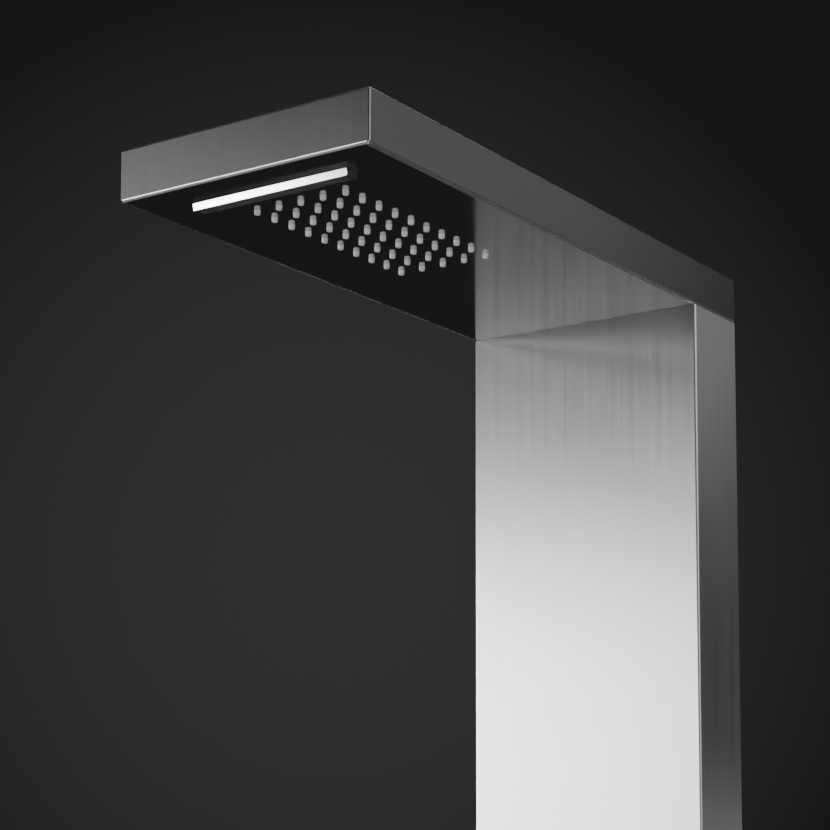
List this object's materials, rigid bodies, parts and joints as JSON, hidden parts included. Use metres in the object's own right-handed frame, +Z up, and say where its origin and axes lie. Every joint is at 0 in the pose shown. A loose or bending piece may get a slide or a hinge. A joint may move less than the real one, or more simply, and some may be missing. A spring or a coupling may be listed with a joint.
{
  "type": "rainfall shower column",
  "caption": "Wall-hung stainless shower column: a flat head reaches out with rain nozzles and a waterfall lip, above tilting body-spray bars and two control knobs.",
  "frame": {"origin": "on the wall, in the middle of the four wall screws", "axes": "+X right when facing the wall, +Y into the wall, +Z up; the head reaches out along -Y"},
  "size_m": [0.2, 0.488, 1.4],
  "materials": {
    "brushed_stainless": "fine linear brushed grain, satin",
    "polished_stainless": "mirror polished",
    "bracket_steel": "plain mill finish",
    "fastener_steel": "bright",
    "silicone": "smooth matt, light grey",
    "seal_rubber": "smooth matt, black",
    "ceramic": "lapped",
    "moulding": "fine moulded texture",
    "brass": "as cast and turned",
    "chrome": "bright plated",
    "cap_inlay": "gloss",
    "hose_rubber": "smooth matt"
  },
  "bodies": {
    "column": {"base_cap": "brushed_stainless", "column_front": "brushed_stainless", "column_sides": "brushed_stainless", "diverter_body": "brass", "diverter_bonnet_nut": "brass", "diverter_cartridge": "moulding", "diverter_fixed_disc": "ceramic", "diverter_seal": "seal_rubber", "diverter_trim_plate": "chrome", "hanger_bar_lower": "bracket_steel", "hanger_bar_upper": "bracket_steel", "head_nuts": "fastener_steel", "head_plate": "polished_stainless", "head_shell": "brushed_stainless", "head_studs": "fastener_steel", "hose_clamps": "fastener_steel", "link_pipe": "brass", "mixer_body": "brass", "mixer_bonnet_nut": "brass", "mixer_cartridge": "moulding", "mixer_fixed_disc": "ceramic", "mixer_seal": "seal_rubber", "mixer_trim_plate": "chrome", "neck_frame": "bracket_steel", "neck_screws": "fastener_steel", "nozzle_mat": "silicone", "panel_nuts": "fastener_steel", "panel_studs": "fastener_steel", "pipe_clips": "moulding", "rain_chamber": "moulding", "rain_hose": "hose_rubber", "return_flanges": "brushed_stainless", "spray_bezel_lower": "brushed_stainless", "spray_bezel_upper": "brushed_stainless", "spray_feed_hose": "hose_rubber", "spray_housing_lower": "moulding", "spray_housing_upper": "moulding", "spray_link_hose": "hose_rubber", "union_nuts": "brass", "wall_bracket_lower": "bracket_steel", "wall_bracket_upper": "bracket_steel", "waterfall_chamber": "moulding", "waterfall_hose": "hose_rubber", "waterfall_lip": "polished_stainless"},
    "mixer_control": {"mixer_moving_disc": "ceramic", "mixer_stem": "brass", "mixer_knob": "chrome", "mixer_grub_screw": "fastener_steel", "mixer_index_cap": "cap_inlay"},
    "diverter_control": {"diverter_moving_disc": "ceramic", "diverter_stem": "brass", "diverter_knob": "chrome", "diverter_grub_screw": "fastener_steel", "diverter_index_cap": "cap_inlay"},
    "spray_lower": {"spray_bar_lower": "chrome", "spray_nozzles_lower": "silicone"},
    "spray_upper": {"spray_bar_upper": "chrome", "spray_nozzles_upper": "silicone"}
  },
  "joints": [
    {"name": "mixer_turn", "type": "hinge", "parent": "column", "child": "mixer_control", "pos_m": [0, -0.05, -0.29], "axis": [0, -1, 0], "range_deg": [0, 180]},
    {"name": "diverter_turn", "type": "hinge", "parent": "column", "child": "diverter_control", "pos_m": [0, -0.05, -0.15], "axis": [0, -1, 0], "range_deg": [-90, 90]},
    {"name": "spray_tilt_lower", "type": "hinge", "parent": "column", "child": "spray_lower", "pos_m": [0, -0.058, 0.02], "axis": [1, 0, 0], "range_deg": [-20, 20]},
    {"name": "spray_tilt_upper", "type": "hinge", "parent": "column", "child": "spray_upper", "pos_m": [0, -0.058, 0.19], "axis": [1, 0, 0], "range_deg": [-20, 20]}
  ]
}
